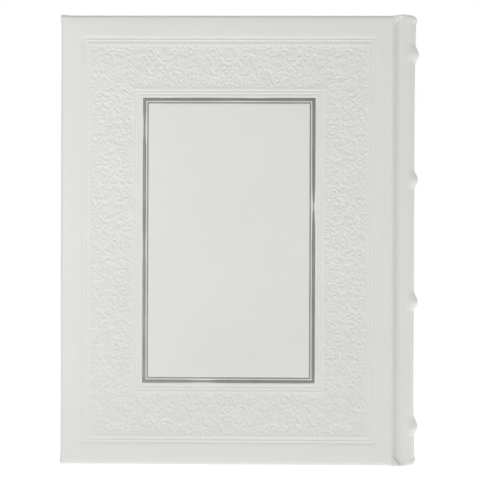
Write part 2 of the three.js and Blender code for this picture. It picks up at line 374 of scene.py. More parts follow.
def leaf(image, root, angle, length, curve, width=0.2 * MM):
    """A curved blade with short barbs down one side."""
    t = np.linspace(0, 1, 24)
    turn = angle + curve * t
    step = length / len(t)
    points = np.array(root) + np.cumsum(np.column_stack([np.cos(turn), np.sin(turn)]) * step, axis=0)
    stroke(image, along(points), width)
    for k in range(4, 24, 5):
        side = 1 if curve > 0 else -1
        barb = turn[k] + side * 0.9
        size = length * 0.3 * math.sin(math.pi * t[k]) + 0.25 * MM
        tip = points[k] + size * np.array([math.cos(barb), math.sin(barb)])
        stroke(image, along([points[k], tip]), width * 0.85, 0.8)


def fill_gaps(image, draw, tries=1500):
    """Puts small blades wherever the ground is still bare."""
    rows, columns = image.shape
    room = int(round(0.55 * MM / CELL))
    for _ in range(tries):
        i, j = int(draw.integers(room, rows - room)), int(draw.integers(0, columns))
        near = image[i - room : i + room + 1][:, np.arange(j - room, j + room + 1) % columns]
        if near.max() > 0.35:
            continue
        angle = 2.4 * math.sin(2 * math.pi * j / columns) + 4 * math.pi * i / rows
        points = [(j * CELL, i * CELL)]
        for _ in range(int(draw.integers(3, 6))):
            x, y = points[-1]
            points.append((x + 0.32 * MM * math.cos(angle), y + 0.32 * MM * math.sin(angle)))
            angle += 0.35
        stroke(image, along(points, 0.1 * MM), 0.2 * MM, 0.85)


def border_tile(length):
    """Height of one repeat, in rows across the border and columns along it."""
    draw = np.random.default_rng(7)
    image = np.zeros((int(round(BAND_WIDE / CELL)), int(round(length / CELL))))
    half = BAND_WIDE / 2
    t = np.linspace(0, 1, 200)
    stem = np.column_stack([t * length, half + 0.22 * BAND_WIDE * np.sin(2 * math.pi * t)])
    stroke(image, along(stem), 0.27 * MM)
    scrolls = []
    for k, (place, across, size) in enumerate([
        (0.25, 0.2, 3.1), (0.75, 0.8, 3.1), (0.02, 0.16, 2.1), (0.52, 0.84, 2.1),
        (0.5, 0.22, 2.3), (0.0, 0.78, 2.3), (0.25, 0.52, 1.5), (0.75, 0.48, 1.5),
        (0.38, 0.62, 1.9), (0.88, 0.38, 1.9), (0.14, 0.6, 1.7), (0.64, 0.4, 1.7),
    ]):
        centre = np.array([place * length, across * BAND_WIDE])
        way = 1 if k % 2 else -1
        stroke(image, along(spiral(centre, size * MM, 1.7, 2.1 * k, way)), 0.22 * MM)
        stroke(image, [centre], 0.42 * MM)
        scrolls.append((centre, size * MM))
    for centre, size in scrolls:
        count = int(5 + size / MM * 2)
        for k in range(count):
            angle = 2 * math.pi * (k + draw.uniform(-0.3, 0.3)) / count
            root = centre + (size + 0.35 * MM) * np.array([math.cos(angle), math.sin(angle)])
            bend = draw.choice((-1, 1)) * draw.uniform(0.6, 1.6)
            leaf(image, root, angle + draw.uniform(-0.9, 0.9), draw.uniform(1.6, 3.2) * MM, bend)
    fill_gaps(image, draw)
    for edge, way in ((0.35 * MM, 1), (BAND_WIDE - 0.35 * MM, -1)):
        count = int(length / (1.25 * MM))
        for k in range(count):
            x = (k + 0.5) * length / count
            size = (1.1 + 0.55 * math.sin(6 * math.pi * k / count)) * MM
            lean = 0.35 * math.sin(4 * math.pi * k / count)
            stroke(image, along([(x, edge), (x + lean * size, edge + way * size)]), 0.2 * MM, 0.75)
    return image


def sample(image, x, y):
    """The tile's height at x along and y across, both in metres."""
    rows, columns = image.shape
    i, j = np.clip(y / CELL, 0, rows - 1.001), x / CELL
    i0, j0 = np.floor(i).astype(int), np.floor(j).astype(int)
    fi, fj = i - i0, j - j0
    a, b = j0 % columns, (j0 + 1) % columns
    low = image[i0, a] * (1 - fj) + image[i0, b] * fj
    high = image[i0 + 1, a] * (1 - fj) + image[i0 + 1, b] * fj
    return low * (1 - fi) + high * fi


def outward(x, z):
    """How far a point lies outwards from the foil frame, and its place along that side."""
    left, right = foil_low.x - x, x - foil_high.x
    down, up = foil_low.z - z, z - foil_high.z
    across = np.maximum(left, right)
    rise = np.maximum(down, up)
    side = across > rise
    place = np.where(side, z - MIDDLE, x - (foil_low.x + foil_high.x) / 2)
    return np.maximum(across, rise), place


TILE = border_tile(REPEAT)


def tooled_depth(x, z):
    """How far the cover's face lies below its untooled level."""
    out, place = outward(x, z)
    depth = np.zeros_like(out)
    for middle in (*OUTER_LINES, *INNER_LINES):
        depth = np.maximum(depth, LINE_DEPTH * np.exp(-((out - middle) / LINE_HALF) ** 4))
    inside = smooth((BORDER[0] - out) / (0.8 * MM)) * smooth((out - BORDER[1]) / (0.8 * MM))
    height = sample(TILE, np.abs(place), BORDER[0] - out)
    depth = np.maximum(depth, inside * GROUND_DEPTH * (1 - height))
    for inset, width in ((0, HEAVY_WIDTH), (FINE_INSET, FINE_WIDTH)):
        middle, half = -inset - width / 2, width / 2 + 0.1 * MM
        depth = np.maximum(depth, FOIL_SUNK * 1.6 * np.exp(-((out - middle) / half) ** 6))
    return depth


# ---- Cover leather ----
ACROSS, UP, FINER = 68, 102, 4
GATHERED = 0.55
CORNER = 1.1 * MM
EDGE_ROLL = 1.2 * MM
ROLL_STEPS = 6
BACK_SHARE = 0.35
TURN_IN = 15 * MM
BACK_TURN = 0.75 * MM
# The inner shell's distance from the cover's edges, and from its back edge.
SHELL_EDGE, SHELL_BACK = 0.86 * MM, 0.74 * MM
LINE_STEP = 0.25 * MM
# As many as keep the cover's leather under 200,000 triangles.
PATTERN_RINGS = 47


def gather(t, amount):
    """Shifts even places towards both ends, so that corners get more points."""
    return t - amount * np.sin(2 * math.pi * t) / (2 * math.pi)


def refined(t, finer):
    """The coarse shares with finer - 1 even steps put between each two, and 1 at the end."""
    t = np.r_[t, 1.0]
    return np.interp(np.arange((len(t) - 1) * finer) / finer, np.arange(len(t)), t)


def ring_shares(finer, gathered=0.0):
    """Shares of the way across and up for points round a rectangle, from one corner."""
    u = refined(gather(np.linspace(0, 1, ACROSS + 1)[:-1], gathered), finer)
    v = refined(gather(np.linspace(0, 1, UP + 1)[:-1], gathered), finer)
    zeros, ones = np.zeros_like, np.ones_like
    return (
        np.concatenate([u, ones(v), 1 - u, zeros(v)]),
        np.concatenate([zeros(u), v, ones(u), 1 - v]),
    )


def ring(low_x, high_x, low_z, high_z, radius, shares):
    """Points round a rectangle whose corners are rounded to a radius."""
    x = low_x + (high_x - low_x) * shares[0]
    z = low_z + (high_z - low_z) * shares[1]
    if radius > 0:
        cx = np.clip(x, low_x + radius, high_x - radius)
        cz = np.clip(z, low_z + radius, high_z - radius)
        away = np.hypot(x - cx, z - cz)
        corner = (np.abs(x - cx) > 0) & (np.abs(z - cz) > 0)
        scale = np.where(corner, radius / np.maximum(away, 1e-9), 1)
        x, z = cx + (x - cx) * scale, cz + (z - cz) * scale
    return x, z


def corner_ears(x, z):
    """The folded leather at the two fore-edge corners stands out a little."""
    points = np.column_stack([x, z])
    for corner_z in (0, HEAD):
        near = np.hypot(x - FORE, z - corner_z)
        push = 0.38 * MM * np.exp(-(near / (3.2 * MM)) ** 2)
        points[:, 0] -= push
        if corner_z > 0:
            points[:, 1] += push
    return points[:, 0], points[:, 1]


def face_fall(inset):
    """How far the face has fallen towards a cover's edge, over the rounded board."""
    inset = np.maximum(inset, 0)
    return 0.42 * MM * np.exp(-inset / (1.3 * MM)) + 0.2 * MM * np.exp(-inset / (5.5 * MM))


def slow_waves(x, z):
    """The hide's faint unevenness over the board."""
    waves = (
        np.sin(x / (9.1 * MM) + 0.7) * np.sin(z / (13.7 * MM) + 1.9)
        + 0.7 * np.sin(x / (5.3 * MM) - z / (7.9 * MM) + 4.1)
        + 0.5 * np.sin(x / (3.7 * MM) + z / (4.3 * MM) + 2.2)
    )
    return 0.012 * MM * waves


def cover_rings():
    """Rings of the cover's skin, from the inner edge of its turn-in to the foil frame.
    Each is (left, right, end insets, depth out from the book's middle, finer, gathered)."""
    rings = []
    margins = (foil_low.x - FORE, BACK - foil_high.x, foil_low.z)

    def inside(inset, depth):
        rings.append((inset, min(inset, BACK_TURN), inset, depth, False, GATHERED))

    def tooled(outs, finer=False):
        for out in outs:
            rings.append((*(margin - out for margin in margins), None, finer, 0))

    inside(TURN_IN, INSIDE + 0.48 * MM)
    inside(TURN_IN - 0.05 * MM, INSIDE + 0.2 * MM)
    inside(TURN_IN - 0.5 * MM, INSIDE)
    for inset in (10, 5, 2.2):
        inside(inset * MM, INSIDE)
    for k in range(1, ROLL_STEPS + 1):
        angle = math.pi / 2 * k / ROLL_STEPS
        inside(EDGE_ROLL * (1 - math.sin(angle)), INSIDE + EDGE_ROLL * (1 - math.cos(angle)))
    low = FACE - face_fall(0)
    for share in (0.35, 0.7):
        inside(0, INSIDE + EDGE_ROLL + share * (low - INSIDE - 2 * EDGE_ROLL))
    for k in range(1, ROLL_STEPS):
        angle = math.pi / 2 * k / ROLL_STEPS
        inset = EDGE_ROLL * (1 - math.cos(angle))
        depth = low - EDGE_ROLL * (1 - math.sin(angle)) + face_fall(0) - face_fall(inset)
        rings.append((inset, inset * BACK_SHARE, inset, depth, False, GATHERED))
    border = OUTER_LINES[0] + 0.9 * MM
    for share in (0, 0.04, 0.1, 0.18, 0.3, 0.45, 0.65, 0.85):
        insets = []
        for margin, tight in zip(margins, (1, BACK_SHARE, 1)):
            rolled = EDGE_ROLL * tight
            insets.append(rolled + (margin - border - rolled) * share)
        rings.append((*insets, None, False, GATHERED * (1 - share)))
    for middle in OUTER_LINES:
        tooled(middle + k * LINE_STEP for k in (2.6, 1.6, 1, 0.4, -0.4, -1, -1.6))
    fine_from = BORDER[0] + LINE_STEP
    span = BORDER[1] - LINE_STEP - fine_from
    tooled((fine_from + span * k / PATTERN_RINGS for k in range(PATTERN_RINGS + 1)), finer=True)
    for middle in INNER_LINES:
        tooled(middle + k * LINE_STEP for k in (2.2, 1.6, 1, 0.4, -0.4, -1, -1.6))
    for inset, width in ((0, HEAVY_WIDTH), (FINE_INSET, FINE_WIDTH)):
        tooled(-inset + k * MM for k in (0.16, 0.06, -0.04))
        tooled(-inset - width + k * MM for k in (0.04, -0.06, -0.16))
    tooled(-FINE_INSET - FINE_WIDTH - k * MM for k in (0.5, 1.2))
    return rings


def cell_faces(points, a, b, c, d, split):
    """A four-cornered face, or two triangles along its shorter diagonal."""
    if not split:
        return [(a, b, c, d)]
    if np.abs(points[a] - points[c]).sum() <= np.abs(points[b] - points[d]).sum():
        return [(a, b, c), (a, c, d)]
    return [(a, b, d), (b, c, d)]


def cover_skin():
    """Points and faces of a cover's leather, for the front cover."""
    points, faces = [], []
    before = None
    for left, right, end, depth, finer, gathered in cover_rings():
        shares = ring_shares(FINER if finer else 1, gathered)
        radius = max(0, CORNER - left) if left < TURN_IN / 2 else 0
        x, z = ring(FORE + left, BACK - right, end, HEAD - end, radius, shares)
        near = np.minimum.reduce([x - FORE, (BACK - x) / BACK_SHARE, z, HEAD - z])
        if depth is None:
            level = FACE - face_fall(near) - tooled_depth(x, z) + slow_waves(x, z)
        else:
            level = np.full_like(x, depth)
        x, z = corner_ears(x, z)
        z = np.maximum(z, 0.0)
        start = len(points)
        points.extend(np.column_stack([x, -level, z]))
        count = len(x)
        if before is not None:
            low, few = before
            if few == count:
                for j in range(count):
                    k = (j + 1) % count
                    faces += cell_faces(points, low + j, low + k, start + k, start + j, finer)
            else:
                many, less = max(few, count), min(few, count)
                step = many // less
                a, b = (low, start) if few < count else (start, low)
                for j in range(less):
                    row = [b + (j * step + k) % many for k in range(step + 1)]
                    face = [a + j, a + (j + 1) % less, *reversed(row)]
                    faces.append(tuple(face if few < count else reversed(face)))
        before = (start, count)
    faces += panel_faces(points, before[0])
    return points, faces


def panel_faces(points, start):
    """Fills the middle panel inside the last ring, and adds its points."""
    ring_points = np.array(points[start:])
    index = -np.ones((UP + 1, ACROSS + 1), int)
    for j in range(ACROSS):
        index[0, j] = start + j
        index[UP, ACROSS - j] = start + ACROSS + UP + j
    for i in range(UP):
        index[i, ACROSS] = start + ACROSS + i
        index[UP - i, 0] = start + 2 * ACROSS + UP + i
    for i in range(1, UP):
        for j in range(1, ACROSS):
            x = ring_points[index[0, j] - start][0]
            z = ring_points[index[i, ACROSS] - start][2]
            level = FACE - tooled_depth(np.array([x]), np.array([z]))[0] + slow_waves(x, z)
            index[i, j] = len(points)
            points.append(np.array([x, -level, z]))
    return [
        (index[i, j], index[i, j + 1], index[i + 1, j + 1], index[i + 1, j])
        for i in range(UP)
        for j in range(ACROSS)
    ]


def close_skin(points, faces):
    """Gives the skin its inner side, a plain shell round the board, and joins the two."""
    coarse = ring_shares(1, GATHERED)
    start = len(points)
    count = len(coarse[0])
    inner = [
        (TURN_IN, BACK_TURN, INSIDE + 0.5 * MM),
        (SHELL_EDGE, SHELL_BACK, INSIDE + 0.52 * MM),
        (SHELL_EDGE, SHELL_BACK, FACE - LEATHER - face_fall(0)),
        (2.5 * MM, 2.5 * MM, FACE - LEATHER),
    ]
    for inset, back, depth in inner:
        x, z = ring(FORE + inset, BACK - back, inset, HEAD - inset, 0, coarse)
        points.extend(np.column_stack([x, np.full_like(x, -depth), z]))
    for i in range(len(inner) - 1):
        low, high = start + i * count, start + (i + 1) * count
        faces += [
            (low + (j + 1) % count, low + j, high + j, high + (j + 1) % count) for j in range(count)
        ]
    faces += [(j, start + j, start + (j + 1) % count, (j + 1) % count) for j in range(count)]
    last = start + (len(inner) - 1) * count
    faces.append(tuple(last + j for j in reversed(range(count))))


def add_cover_leather():
    points, faces = cover_skin()
    close_skin(points, faces)
    for side, body in (("front", "front_cover"), ("back", "back_cover")):
        piece = add_piece(f"{side}_cover_leather", *on_side(side, points, faces), LEATHER_LOOK)
        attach(piece, body)
        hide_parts(f"{side}_leather")


# ---- Leather in the joints ----
JOINT_LEATHER = 0.45 * MM
CAP_FADE = 5.0 * MM
CAP_RISE = 0.6 * MM
# The rolled rim that crosses the tail end of the groove.
RIM_HEIGHT, RIM_HALF, RIM_END = 0.32 * MM, 0.7 * MM, 3.4 * MM
# Where painted shade darkens the groove's colour: its middle past the cover's edge, half width, and fade at
# the ends.
SHADE_AT, SHADE_HALF, SHADE_FADE = 1.3 * MM, 2.2 * MM, 4 * MM


def joint_profile():
    """The joint leather's outer line across the groove: (x past the cover's edge, depth)."""
    meet_x = SPINE_X + SKIN_RADIUS * math.cos(LEATHER_REACH) - BACK
    meet_depth = SKIN_RADIUS * math.sin(LEATHER_REACH)
    under_x = SPINE_X + (SKIN_RADIUS - 0.12 * MM) * math.cos(LEATHER_REACH - 0.045) - BACK
    under_depth = (SKIN_RADIUS - 0.12 * MM) * math.sin(LEATHER_REACH - 0.045)
    return [
        (-0.3 * MM, FACE - 1.05 * MM),
        (0.0 * MM, FACE - 0.92 * MM),
        (0.4 * MM, FACE - 1.08 * MM),
        (0.9 * MM, FACE - 1.7 * MM),
        (1.4 * MM, FACE - 2.25 * MM),
        (2.1 * MM, FACE - 2.5 * MM),
        (2.9 * MM, FACE - 2.48 * MM),
        (3.7 * MM, FACE - 2.3 * MM),
        (4.5 * MM, FACE - 2.15 * MM),
        (meet_x, meet_depth - 0.015 * MM),
        (under_x, under_depth),
    ]


def curve_through(points, count):
    """Even samples of a smooth curve through a few points."""
    points = np.array(points, float)
    ends = np.vstack([2 * points[0] - points[1], points, 2 * points[-1] - points[-2]])
    samples = []
    for i in range(len(points) - 1):
        a, b, c, d = ends[i : i + 4]
        for t in np.linspace(0, 1, 24, endpoint=i == len(points) - 2):
            samples.append(0.5 * (
                2 * b + (c - a) * t + (2 * a - 5 * b + 4 * c - d) * t ** 2
                + (3 * b - a - 3 * c + d) * t ** 3))
    return resampled(np.array(samples), count)


def resampled(line, count):
    lengths = np.r_[0, np.cumsum(np.linalg.norm(np.diff(line, axis=0), axis=1))]
    places = np.linspace(0, lengths[-1], count)
    return np.column_stack([np.interp(places, lengths, line[:, k]) for k in (0, 1)])


def offset_line(line, distance):
    """The line moved sideways, to the left of its direction."""
    tangent = np.gradient(line, axis=0)
    tangent /= np.linalg.norm(tangent, axis=1)[:, None]
    return line + distance * np.column_stack([-tangent[:, 1], tangent[:, 0]])


def end_fill(x, z):
    """1 where the groove is filled by the gathered leather beside a cap, 0 elsewhere."""
    fill = np.zeros_like(z)
    for end in (z, HEAD - z):
        lean = 1.0 * MM + (CAP_FADE - 1.0 * MM) * (1 - smooth((x - BACK) / (4.2 * MM)))
        fill = np.maximum(fill, 1 - smooth((end - lean * 0.35) / (lean * 0.75)))
    return fill


def heights_up(step, *fine):
    """Heights from tail to head, closer together in each (low, high) stretch of fine."""
    places = list(np.arange(0, HEAD, step)) + [HEAD]
    for low, high in fine:
        places += list(np.arange(low, high, step / 3))
    places = np.unique(np.round(places, 6))
    keep = np.r_[True, np.diff(places) > 0.12 * MM]
    return places[keep]


def blend_joint(piece):
    """Bakes the placement of a piece that crosses the groove into its mesh."""
    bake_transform(piece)


def cap_rise(z):
    """How far the leather near the head is drawn up over the head cap."""
    return CAP_RISE * smooth((z - HEAD + 7 * MM) / (7 * MM))


def add_joint_leather():
    line = curve_through(joint_profile(), 34)
    bridge = curve_through([
        (-0.3 * MM, FACE - 1.0 * MM), (0.2 * MM, FACE - 0.8 * MM), (1.6 * MM, FACE - 0.95 * MM),
        (3.2 * MM, FACE - 1.45 * MM), *joint_profile()[-3:],
    ], 34)
    heights = heights_up(1.6 * MM, (0, 9 * MM), (HEAD - 9 * MM, HEAD))
    outer, inner = [], []
    for z in heights:
        fill = end_fill(BACK + line[:, 0], np.full(len(line), z))[:, None]
        across = line * (1 - fill) + bridge * fill
        across[:, 1] += 0.03 * MM * math.sin(z / (6.1 * MM)) * np.sin(np.linspace(0, math.pi, len(line)))
        rim = CAP_FADE * 0.9 * (1 - line[:, 0] / (3.6 * MM))
        across[:, 1] += RIM_HEIGHT * np.exp(-((z - rim) / RIM_HALF) ** 2) * (line[:, 0] < RIM_END)
        below = offset_line(across, -JOINT_LEATHER)
        level = z + cap_rise(z) * smooth((line[:, 0] - 0.4 * MM) / (4 * MM))
        outer.append(np.column_stack([BACK + across[:, 0], -across[:, 1], level]))
        inner.append(np.column_stack([BACK + below[:, 0], -below[:, 1], level]))
    points = np.concatenate([*outer, *inner])
    faces = slab_faces(len(heights), len(line))
    for side in ("front", "back"):
        piece = add_piece(f"{side}_joint_leather_strip", *on_side(side, points, faces), GROOVE_SHADED_LOOK)
        # Painted shade: the strip's colour is darkened along the groove floor, fading towards the head and
        # tail.
        groove_shade = piece.data.attributes.new(SHADE_ATTRIBUTE, "FLOAT", "POINT")
        past = (points[:, 0] - BACK - SHADE_AT) / SHADE_HALF
        painted_shade = np.exp(-past ** 2) * smooth(np.minimum(points[:, 2], HEAD - points[:, 2]) / SHADE_FADE)
        groove_shade.data.foreach_set("value", painted_shade.astype(np.float32))
        blend_joint(piece)
        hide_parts(f"{side}_joint_leather")


# ---- Spine ----
# How far each band's slopes reach above and below its middle, as shares of BAND_HALF.
BAND_SLOPES = ((1.22, 0.84), (1.12, 0.92), (1.0, 1.04), (1.06, 0.96))
END_FLARE, END_DROP = 0.8 * MM, 0.3 * MM
SHOULDER = 0.7 * MM
CAP_ROLL = 0.4 * MM
HAND_DIPS = 0.035 * MM


def blend_spine(piece, name):
    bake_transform(piece)
    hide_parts(name)


def band_swell(z, angle):
    """How far the leather stands out over the raised bands."""
    swell = np.zeros(np.broadcast(z, angle).shape)
    around = np.cos(np.clip(np.abs(angle) / LEATHER_REACH, 0, 1) * math.pi / 2) ** 1.1
    for middle, (above, below) in zip(BANDS, BAND_SLOPES):
        offset = (z - middle) / BAND_HALF
        share = np.clip(np.where(offset > 0, offset / above, -offset / below), 0, 1)
        shape = (0.5 * (1 + np.cos(np.pi * share))) ** 0.9
        swell = np.maximum(swell, BAND_HEIGHT * shape * around)
    return swell


def spine_outer(z, angle):
    """Radius of the spine leather's outer face: bands, flared ends, full shoulders, rolled caps
    and slight hand-worked dips."""
    ends = np.maximum(np.minimum(z, HEAD - z), 0)
    flare = END_FLARE * np.exp(-ends / (16 * MM)) - END_DROP
    turned = np.clip(np.abs(angle) / LEATHER_REACH, 0, 1)
    shoulder = SHOULDER * np.sin(math.pi * turned ** 2.2)
    cap = CAP_ROLL * np.sin(math.pi * np.clip(ends / (3.2 * MM), 0, 1)) ** 2
    dips = HAND_DIPS * np.sin(z / (7.3 * MM) + 3 * angle) * np.cos(4.5 * angle + z / (31 * MM))
    fade = smooth((LEATHER_REACH - np.abs(angle)) / 0.35)
    return SKIN_RADIUS + band_swell(z, angle) + (flare + cap + dips) * fade + shoulder


def bent_row(radius, angles, height):
    """Points round the spine at one height, or at a height for each angle."""
    return np.column_stack([
        SPINE_X + radius * np.cos(angles), radius * np.sin(angles), np.full(len(angles), height)])


def spine_rows():
    """The leather's loop up the outside, over the head cap, down the inside and back round the
    tail cap, as (height, radius moved in from the outside, 1 on the outside)."""
    low = 1.1 * MM
    lip = [(-0.25, 0.1), (0.1, 0.45), (0.0, 1.0), (-0.35, 1.5), (-0.9, 1.75), (-1.8, 1.8), (-2.9, 1.75)]
    fine = [(b - 7 * MM, b + 7 * MM) for b in BANDS] + [(0, 6 * MM), (HEAD - 6 * MM, HEAD)]
    outside = [z for z in heights_up(1.5 * MM, *fine) if low <= z <= HEAD - low]
    rows = [(z, 0.0) for z in outside]
    rows += [(HEAD + (z - 0.1) * MM, r * MM) for z, r in lip]
    rows += [(z, LEATHER) for z in np.linspace(HEAD - 3.4 * MM, 3.4 * MM, 60)]
    rows += [((0.1 - z) * MM, r * MM) for z, r in reversed(lip)]
    return rows


def add_spine_leather():
    angles = np.linspace(-LEATHER_REACH, LEATHER_REACH, 73)
    pared = smooth((LEATHER_REACH - np.abs(angles)) / 0.1) * 0.65 + 0.35
    points = []
    rows = spine_rows()
    for z, inward in rows:
        radius = spine_outer(np.clip(z, 0, HEAD), angles) - inward * pared
        points.append(bent_row(radius, angles, max(z + cap_rise(z), 0)))
    count, columns = len(rows), len(angles)
    faces = grid_faces(count, columns)
    last = (count - 1) * columns
    faces += [(last + j, last + j + 1, j + 1, j) for j in range(columns - 1)]
    faces.append(tuple(i * columns for i in range(count)))
    faces.append(tuple(i * columns + columns - 1 for i in reversed(range(count))))
    piece = add_piece("spine_leather_skin", np.concatenate(points), faces, LEATHER_LOOK)
    blend_spine(piece, "spine_leather")


def spine_strip(node, inner, outer, reach, low, high, look, depth_at=None):
    """A bent strip between two radii. Where the outer one varies, depth_at(z, angle) gives it."""
    angles = np.linspace(-reach, reach, 49)
    levels = np.linspace(low, high, 13 if depth_at else 3)
    points = [bent_row(depth_at(z, angles) if depth_at else outer, angles, z) for z in levels]
    points += [bent_row(inner, angles, z) for z in levels]
    faces = slab_faces(len(levels), len(angles))
    piece = add_piece(f"{node}_bent", np.concatenate(points), faces, look, 50)
    blend_spine(piece, node)


def add_spine_linings():
    linings = [(f"sewing_tape_{k}", 0.3 * MM, CLOTH_LOOK, "binding_cloth") for k in (1, 2, 3)]
    linings.append(("spine_mull", 0.3 * MM, CLOTH_LOOK, "binding_cloth"))
    linings.append(("spine_liner", 0.4 * MM, BOARD_LOOK, "binder_board"))
    for node, thick, look, slot in linings:
        low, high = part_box(node)
        _, outer, reach = arc_of(node)
        spine_strip(node, outer - thick, outer, reach, low.z, high.z, look)
    for k in (1, 2, 3, 4):
        node = f"band_core_{k}"
        low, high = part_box(node)
        reach = math.asin(high.y / LEATHER_RADIUS)
        spine_strip(
            node, LEATHER_RADIUS, LEATHER_RADIUS, reach, low.z, high.z,
            BOARD_LOOK,
            lambda z, angle: LEATHER_RADIUS + np.maximum(band_swell(z, angle) - 0.2 * MM, 0.05 * MM))


SILK_PITCH = 0.62 * MM


def add_headbands():
    """Silk worked over a core: a cord wrapped with thread, whose turns show as ridges."""
    for name in ("headband", "tailband"):
        low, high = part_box(name)
        radius = (high.z - low.z) / 2
        middle = (high.z + low.z) / 2
        path_radius = high.x - radius - SPINE_X
        reach = math.asin(high.y / (path_radius + radius)) - 0.012
        turns = int(2 * reach * path_radius / SILK_PITCH)
        steps, sides = turns * 6, 18
        points = []
        for i in range(steps + 1):
            share = i / steps
            angle = (2 * share - 1) * reach
            close = min(1.0, min(share, 1 - share) * 60 + 0.25)
            for j in range(sides):
                around = 2 * math.pi * j / sides
                lean = share * turns * math.pi * 2 + 0.5 * around
                size = radius * (0.9 + 0.1 * abs(math.sin(lean / 2))) * close
                out = path_radius + size * math.cos(around)
                points.append((
                    SPINE_X + out * math.cos(angle), out * math.sin(angle),
                    middle + size * math.sin(around)))
        faces = [tuple(reversed(face)) for face in grid_faces(steps + 1, sides, wrap=True)]
        faces.append(tuple(range(sides)))
        faces.append(tuple(steps * sides + j for j in reversed(range(sides))))
        piece = add_piece(f"{name}_silk", points, faces, SILK_LOOK)
        blend_spine(piece, name)


# ---- Text block ----
SHEETS = 8
LEAF_SHARE = 0.44
SHOULDER_FLARE = 1.6 * MM
FLARE_START = BACK - 0.6 * MM


def bent_sheet(line, half_thick, low, high):
    """Points and faces of an upright sheet of paper that follows a line seen from above."""
    outline = np.vstack([offset_line(line, -half_thick), offset_line(line, half_thick)[::-1]])
    points = [(x, y, z) for z in (low, high) for x, y in outline]
    count = len(outline)
    faces = [(j, (j + 1) % count, count + (j + 1) % count, count + j) for j in range(count)]
    for j in range(count // 2 - 1):
        a, b, c, d = j, j + 1, count - 2 - j, count - 1 - j
        faces.append((d, c, b, a))
        faces.append((count + a, count + b, count + c, count + d))
    return points, faces


def text_measures():
    """Half the block's thickness, and the radius on which its folds end."""
    edges = [p.y for p in vertices("gathering_01") if p.x < leaf_low.x + 4 * MM]
    _, tape_radius, _ = arc_of("sewing_tape_1")
    return -min(edges), tape_radius - 0.4 * MM


def sheet_path(near, far, share, half, fold_radius, nested):
    """The middle line of one folded sheet: up one leaf, round the fold, down the other."""
    spread = (half + SHOULDER_FLARE) / half
    sides = []
    for place in (share, 1 - share):
        y = near + (far - near) * place
        angle = math.asin(y * spread / fold_radius)
        end = np.array([SPINE_X + fold_radius * math.cos(angle), fold_radius * math.sin(angle)])
        line = [np.array([FLARE_START + (end[0] - FLARE_START) * t, y + (end[1] - y) * t ** 2])
                for t in (0, 0.25, 0.5, 0.7, 0.84)]
        sides.append((y, line, end))
    (y0, first, end0), (y1, second, end1) = sides
    tip = (end0 + end1) / 2
    outwards = tip - np.array([SPINE_X, 0])
    outwards /= np.linalg.norm(outwards)
    half_gap = np.linalg.norm(end1 - end0) / 2
    round_off = min(half_gap, 0.7 * MM)
    along_fold = (end1 - end0) / max(np.linalg.norm(end1 - end0), 1e-9)
    fold = []
    for k in range(7):
        turn = math.pi * k / 6
        fold.append(
            tip - outwards * (nested + round_off * (1 - math.sin(turn)))
            - along_fold * half_gap * math.cos(turn))
    return y0, first, fold, second, y1


def fore_edge_at(y, half):
    """The fore-edge is hollowed as much as the spine is rounded."""
    low_x = leaf_low.x
    inner = max(p.x for p in vertices("gathering_08") if p.x < low_x + 9 * MM)
    hollow = inner - low_x
    radius = (half ** 2 + hollow ** 2) / (2 * hollow)
    return low_x + math.sqrt(radius ** 2 - y ** 2) - radius + hollow


def add_gathering(number, half, fold_radius, draw):
    node = f"gathering_{number:02d}"
    low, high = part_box(node)
    edge = [p.y for p in vertices(node) if p.x < FORE + 12 * MM]
    near, far = min(edge), max(edge)
    leaf_thick = (far - near) / (2 * SHEETS)
    points, faces = [], []
    for k in range(SHEETS):
        share = (k + 0.5) / (2 * SHEETS)
        nested = (k + 0.5) * leaf_thick
        y0, first, fold, second, y1 = sheet_path(near, far, share, half, fold_radius, nested)
        cut0, cut1 = draw.uniform(0, 0.11, 2) * MM
        line = [np.array([fore_edge_at(y0, half) + cut0, y0]), *first, *fold, *reversed(second),
                np.array([fore_edge_at(y1, half) + cut1, y1])]
        trim = draw.uniform(0, 0.07, 2) * MM
        more, around = bent_sheet(np.array(line), LEAF_SHARE * leaf_thick, low.z + trim[0], high.z - trim[1])
        start = len(points)
        points += more
        faces += [tuple(start + n for n in face) for face in around]
    piece = add_piece(f"{node}_leaves", points, faces, PAPER_LOOK, 35)
    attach(piece, "front_half" if number <= 8 else "back_half")
    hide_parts(node)


def add_text_block():
    draw = np.random.default_rng(11)
    half, fold_radius = text_measures()
    for number in range(1, 17):
        add_gathering(number, half, fold_radius, draw)


# ---- Loose leaves and endpapers ----
def leaf_sheet(node, root, bend, look):
    """A single flat leaf, with closer points near its fold."""
    low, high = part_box(node)
    x = np.unique(np.r_[
        np.linspace(low.x, root - bend, 10), np.linspace(root - bend, high.x, 26)])
    z = np.linspace(low.z, high.z, 9)
    points = []
    for y in (low.y, high.y):
        points += [(a, y, c) for c in z for a in x]
    piece = add_piece(f"{node}_page", points, slab_faces(len(z), len(x)), look, 50)
    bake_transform(piece)
    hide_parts(node)


def add_leaves():
    for number, name in ((1, "first"), (2, "second")):
        leaf_sheet(f"centre_leaf_{number}",
                   OPENING[0] - 1 * MM, 16 * MM, PAPER_LOOK)
    for side in ("front", "back"):
        root = hinge_of(f"{side}_flyleaf_turn")[0]
        leaf_sheet(f"{side}_flyleaf",
                   root, 14 * MM, ENDPAPER_LOOK)


def add_endpaper_joints():
    """The strip of each endpaper that crosses the joint, from the pastedown to the first page."""
    low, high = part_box("front_pastedown")
    page = -(low.y + high.y) / 2
    route = ((0.03, 0), (1.1, -0.02), (2.2, 0.06), (3.2, 0.26), (4.0, 0.5), (4.6, 0.68))
    line = curve_through([(high.x + across * MM, page + out * MM) for across, out in route], 24)
    line[:, 1] *= -1
    points, faces = bent_sheet(line, 0.07 * MM, low.z + 0.2 * MM, high.z - 0.2 * MM)
    for side in ("front", "back"):
        piece = add_piece(f"{side}_endpaper_joint", *on_side(side, points, faces), ENDPAPER_LOOK, 50)
        blend_joint(piece)


